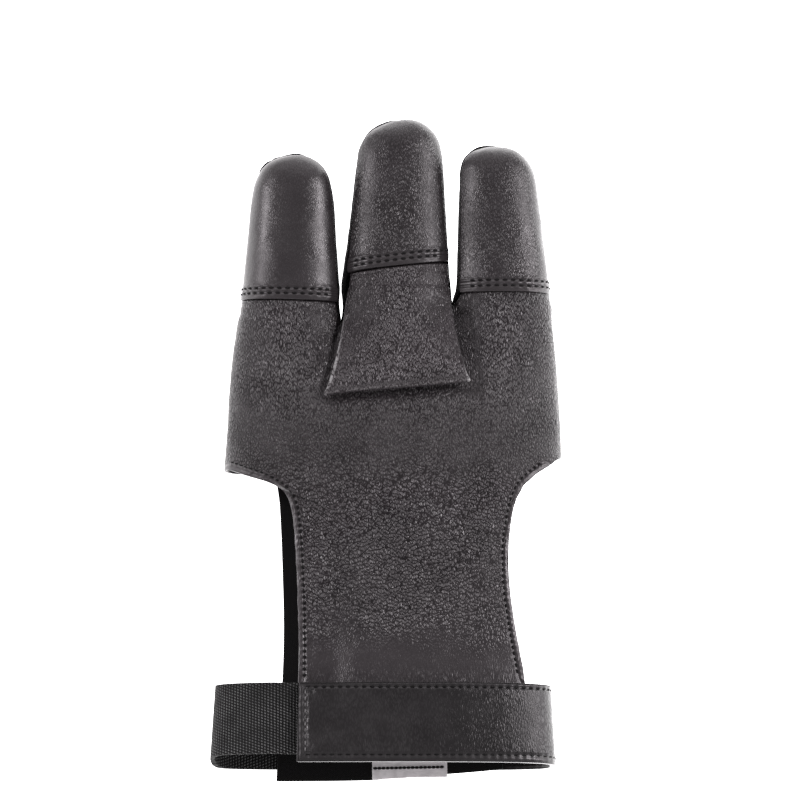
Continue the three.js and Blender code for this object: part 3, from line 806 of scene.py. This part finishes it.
def make_tongue(material):
    piece = dress("middle_tongue", material, 3, rows=True)
    swell_below_hems(piece)
    points, normals = corners(piece)
    x, y, z = points.T
    left, right = tongue_sides(y)
    # The distance from the sides, along which the tongue's material paints wear and a highlight
    paint(piece, "edge", np.minimum(x - left, right - x))
    shown = ease((52 - y) / 3)
    dents = 0.21 * noise_at(points, 15, 5) + 0.12 * noise_at(points, 6, 6)
    fullness = 0.25
    lip = 0.8 * ease((2.2 - y + tongue_foot(x)) / 2)
    up = np.clip(normals[:, 2], 0, 1) * (z > 12)
    move(piece, points + normals * ((dents + fullness + lip) * shown * up)[:, None])


def loop_line():
    """The wrist loop's outline in the x-z plane, with the distance round it from the front middle."""
    steps = 1440
    angles = np.linspace(-math.pi, math.pi, steps + 1)
    power = np.where(np.cos(angles) > 0, 2 / 3, 1 / 2)
    across = np.sign(np.sin(angles)) * np.abs(np.sin(angles)) ** power
    up = np.sign(np.cos(angles)) * np.abs(np.cos(angles)) ** power
    x = LOOP["x"] + across * LOOP["half_x"]
    z = LOOP["z"] + up * LOOP["half_z"]
    line = np.stack([x, z], axis=1)
    reach = lengths(line)
    return line, reach - reach[steps // 2]


def loop_place(points):
    """Each point's distance round the wrist loop and its height across the band."""
    line, reach = loop_line()
    run = np.empty(len(points))
    for first in range(0, len(points), 2000):
        part = points[first:first + 2000][:, [0, 2]]
        gaps = ((part[:, None] - line[None]) ** 2).sum(axis=2)
        run[first:first + 2000] = reach[gaps.argmin(axis=1)]
    rise = points[:, 1] - LOOP["y"] - LOOP["tilt"] * (LOOP_TOP - points[:, 2])
    return run, rise


def band_row(tree, places):
    """A path on the strap's outside through (distance round the loop, rise) places."""
    line, reach = loop_line()
    path = []
    for run, rise in places:
        x = np.interp(run, reach, line[:, 0])
        z = np.interp(run, reach, line[:, 1])
        y = LOOP["y"] + rise + LOOP["tilt"] * (LOOP_TOP - z)
        across = (x - LOOP["x"]) / LOOP["half_x"] ** 2
        up = (z - LOOP["z"]) / LOOP["half_z"] ** 2
        out = np.array([across, 0, up])
        out /= np.linalg.norm(out)
        hit = land(tree, np.array([x, y, z]) + out * 15, -out)
        if hit is not None:
            path.append(hit)
    return path


def make_strap(material, thread, bright_thread):
    piece = dress("wrist_strap", material, 3)
    points, normals = corners(piece)
    run, rise = loop_place(points)
    start = STRAP_LEFT - LOOP["x"]
    top, bottom, end = STRAP_ROWS["top"], STRAP_ROWS["bottom"], STRAP_ROWS["end"]
    front = 20

    # All three rows lie at the top row's value of "rim", whatever their own inset
    sides = np.minimum(STRAP_HALF - rise, (STRAP_HALF + rise) * top / bottom)
    ends = np.where(points[:, 2] > front, (run - start) * top / end, FAR)
    edge = nearer(sides, ends)
    paint(piece, "rim", edge)
    paint(piece, "run", np.where(ends < sides, rise, run))

    free = ease((points[:, 2] - 2) / 3)
    dents = 0.3 * noise_at(points, 22, 7) + 0.1 * noise_at(points, 8, 8)
    turned = -0.3 * ease((0.8 - edge) / 0.8)
    lift = np.clip(normals[:, 2] + abs(normals[:, 0]), 0, 1)
    move(piece, points + normals * ((dents + turned) * free * lift)[:, None])

    tree = shape_tree(piece)
    for name, at in (("top", STRAP_HALF - top), ("bottom", bottom - STRAP_HALF)):
        path = band_row(tree, [(r, at) for r in np.arange(start + 2, STRAP_SEWN, 0.5)])
        row = f"strap_{name}_stitches"
        sew(row, path, STRAP_STITCH, thread, "stretch_fabric", radius=0.24)
    # The end row has the lighter thread, whose tone is partly a painted highlight
    path = band_row(tree, [(start + end, rise) for rise in np.arange(10.4, -10.2, -0.4)])
    row, pitch = "strap_end_stitches", STRAP_STITCH * 0.8
    sew(row, path, pitch, bright_thread, "stretch_fabric", radius=0.22, sink=0.02)


def make_elastic(material):
    """The elastic, whose edges lie a little lower in front, and whose lower edge sags behind."""
    piece = dress("wrist_elastic", material, 3)
    points, _ = corners(piece)
    run, rise = loop_place(points)
    points[:, 1] += (0.5 - rise / 23.4) * ease((points[:, 2] - 4) / 20)
    points[:, 1] -= 1.5 * ease((12 - points[:, 2]) / 8) * ease(0.5 - rise / 12)
    move(piece, points)
    paint(piece, "rim", rise)
    paint(piece, "run", run)


def show_past_cap(finger, points, cap_line):
    """Moves the back's points out, so that it shows past a cap as far as the finger's rim says."""
    places, reach = cap_places(finger, points)
    own = np.interp(places, ROUND_CAP, cap_reach(finger, points))
    cap = np.interp(places, ROUND_CAP, cap_line)
    rim = np.interp(places, *zip(*finger["rim"]))
    share = abs(points[:, 0] - finger["x"]) < finger["half"] + 0.5
    share = share * ease((reach / own - 0.6) / 0.35) * ease((rim - HIDDEN) / -HIDDEN)
    share *= ease((points[:, 1] - 44) / 8)
    grow = ((cap + rim) / own - 1) * share
    over_tip = np.clip(np.sin(np.radians(np.clip(places, 0, 180))), 0, 1)
    points[:, 1] += reach * over_tip * grow
    points[:, 0] += (points[:, 0] - finger["x"]) * grow


def make_back(material, cap_lines):
    piece = dress("stretch_back", material, 2)
    points, normals = corners(piece)
    free = ease((points[:, 2] - 4) / 4) * ease((points[:, 1] + 60) / 10)
    dents = 0.25 * abs(noise_at(points, 11, 9))
    points -= normals * (dents * free)[:, None]
    for name, finger in FINGERS.items():
        show_past_cap(finger, points, cap_lines[name])
    neck = ease((-20 - points[:, 0]) / 8) * ease((-points[:, 1] - 5) / 10)
    points[:, 0] -= 0.7 * neck
    foot = ease((4 - points[:, 0]) / 8) * ease((-points[:, 1] - 90) / 10)
    points[:, 1] -= 0.8 * foot
    move(piece, points)


def make_label(material, thread):
    piece = dress("edge_label", material, 2, rounding=0.12)
    points, _ = corners(piece)
    points[:, 1] -= 0.7 * ease((12 - points[:, 0]) / 16) * ease((-points[:, 1] - 96) / 7)
    move(piece, points)
    tree = shape_tree(piece)
    places = [(x, -100.7 + 0.02 * x, 40) for x in np.arange(-4.2, 18.7, 0.4)]
    hits = [land(tree, place, (0, 0, -1)) for place in places]
    path = [hit for hit in hits if hit is not None]
    look = {"length": 1.2, "radius": 0.45, "sink": 0.15}
    sew("label_stitches", path, LABEL_STITCH, thread, "stretch_fabric", **look)


LIGHT_TINT = (1, 0.94, 0.975)

# Each soft light's place, size in metres and power in watts. All of them face the glove's middle.
LIGHTS = {
    "left key": ((-0.8, 0.3, 0.6), (0.3, 0.3), 5.2),
    "right key": ((0.8, 0.3, 0.6), (0.3, 0.3), 6.6),
    "left rim": ((-0.9, 0, 0.4), (0.3, 0.9), 2.2),
    "right rim": ((0.9, 0, 0.38), (0.3, 0.9), 4),
    "top rim": ((0, 0.95, 0.45), (0.8, 0.3), 1.2),
    "wrist fill": ((0, -0.9, 0.5), (0.8, 0.3), 2),
}
LIT_PLACE = Vector((0, 0, 0.01))

# The tent's strength near the horizon and near straight up, with the two heights on a unit ball
TENT_HEIGHTS = (0.15, 0.9)
TENT_STRENGTHS = (1.1, 0.48)

FLOOR_HALF = 4
FLOOR_Z = -0.0004


def area_light(name, place, size, power):
    data = bpy.data.lights.new(name, "AREA")
    data.shape = "RECTANGLE"
    data.size, data.size_y = size
    data.energy = power
    data.color = LIGHT_TINT
    lamp = bpy.data.objects.new(name, data)
    lamp.location = place
    facing = LIT_PLACE - Vector(place)
    lamp.rotation_euler = facing.to_track_quat("-Z", "Y").to_euler()
    bpy.context.scene.collection.objects.link(lamp)


def make_floor():
    half = FLOOR_HALF
    mesh = bpy.data.meshes.new("floor")
    around = [(-half, -half, 0), (half, -half, 0), (half, half, 0), (-half, half, 0)]
    mesh.from_pydata(around, [], [(0, 1, 2, 3)])
    mesh.materials.append(pale_floor())
    floor = bpy.data.objects.new("floor", mesh)
    floor.location = (0, 0, FLOOR_Z)
    bpy.context.scene.collection.objects.link(floor)


def make_tent():
    """Soft light from all sides, stronger near the horizon than above."""
    world = bpy.data.worlds.new("tent")
    world.use_nodes = True
    tree = world.node_tree
    place = tree.nodes.new("ShaderNodeTexCoord")
    part = tree.nodes.new("ShaderNodeSeparateXYZ")
    rise = tree.nodes.new("ShaderNodeMapRange")
    tree.links.new(place.outputs["Generated"], part.inputs[0])
    tree.links.new(part.outputs["Z"], rise.inputs["Value"])
    rise.inputs["From Min"].default_value, rise.inputs["From Max"].default_value = TENT_HEIGHTS
    rise.inputs["To Min"].default_value, rise.inputs["To Max"].default_value = TENT_STRENGTHS
    tree.nodes["Background"].inputs["Color"].default_value = (*LIGHT_TINT, 1)
    tree.links.new(rise.outputs[0], tree.nodes["Background"].inputs["Strength"])
    bpy.context.scene.world = world


def make_studio():
    make_floor()
    for name, (place, size, power) in LIGHTS.items():
        area_light(name, place, size, power)
    make_tent()
    bpy.context.scene.view_settings.view_transform = "Standard"


def make_camera():
    """A long lens, ten degrees off straight down on the wrist's side."""
    distance, height_shown, sensor = 6, 0.25, 36
    target = Vector((0.0042, 0.0143, 0.015))
    data = bpy.data.cameras.new("camera")
    data.sensor_width = sensor
    data.lens = sensor * distance / height_shown
    data.clip_start, data.clip_end = 0.1, 20
    camera = bpy.data.objects.new("camera", data)
    back = Vector((0, -SEEN_Z, SEEN_Y))
    camera.location = target + back * distance
    camera.rotation_euler = (-back).to_track_quat("-Z", "Y").to_euler()
    bpy.context.scene.collection.objects.link(camera)
    bpy.context.scene.camera = camera


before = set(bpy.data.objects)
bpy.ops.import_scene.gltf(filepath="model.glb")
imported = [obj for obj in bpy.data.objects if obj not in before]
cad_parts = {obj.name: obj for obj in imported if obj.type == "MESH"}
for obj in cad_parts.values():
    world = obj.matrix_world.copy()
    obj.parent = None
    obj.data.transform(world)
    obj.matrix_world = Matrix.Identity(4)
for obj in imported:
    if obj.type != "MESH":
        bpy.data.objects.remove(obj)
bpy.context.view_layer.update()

thread = twisted("black thread", 0.004)
# Lighter thread for the strap's end row: partly wear, partly a painted highlight where those stitches
# catch the light
bright_thread = twisted("worn thread with painted highlight", 0.11)

# The layers of grain: the cells' size in millimetres, their stretch, their height, and the span along
# the glove or the strap in which they fade in and out
EVERYWHERE = None
palm_grain = [
    (0.98, (1.35, 0.85), 0.25, (-76, -50, -6, 24)),
    (0.8, (1.65, 0.5), 0.23, (-22, 6, 200, 210)),
    (0.9, (1.7, 0.4), 0.06, (-90, -88, -76, -66)),
    (0.65, (1.5, 0.5), 0.03, (-80, -72, -66, -58)),
]
tongue_grain = [(0.78, (1.65, 0.5), 0.18, EVERYWHERE)]
strap_grain = [
    (0.95, (1.7, 0.45), 0.04, EVERYWHERE),
    (1.05, (1.6, 0.6), 0.08, (4, 40, 200, 210)),
]

palm_material = leather(
    "palm leather", 0.0155, palm_grain, rows=(EDGE_INSET,), pitch=EDGE_STITCH
)
tongue_material = leather("tongue leather", 0.022, tongue_grain, cut=True)
strap_material = leather(
    "strap leather",
    0.004,
    strap_grain,
    rows=(STRAP_ROWS["top"],),
    pitch=STRAP_STITCH,
    roughness=0.38,
    axis=0,
)
cap_lines = {}
for finger_name, finger in FINGERS.items():
    cap_material = leather(
        finger_name + " cap leather",
        0.0125,
        [(0.65, (1.5, 0.55), finger["grain"], EVERYWHERE)],
        rows=finger["rows"],
        pitch=CAP_STITCH,
        roughness=0.36,
    )
    cap_lines[finger_name] = make_cap(finger_name, finger, cap_material, thread)
make_palm(palm_material, thread)
make_tongue(tongue_material)
make_strap(strap_material, thread, bright_thread)
make_elastic(ribbed("ribbed elastic"))
make_back(knit("black knit", 0.005, 0.8), cap_lines)
dress("closure_patch", knit("patch knit", 0.008, 0.6), 1, rounding=0.2)
make_label(woven_label("woven label"), thread)

make_studio()
make_camera()
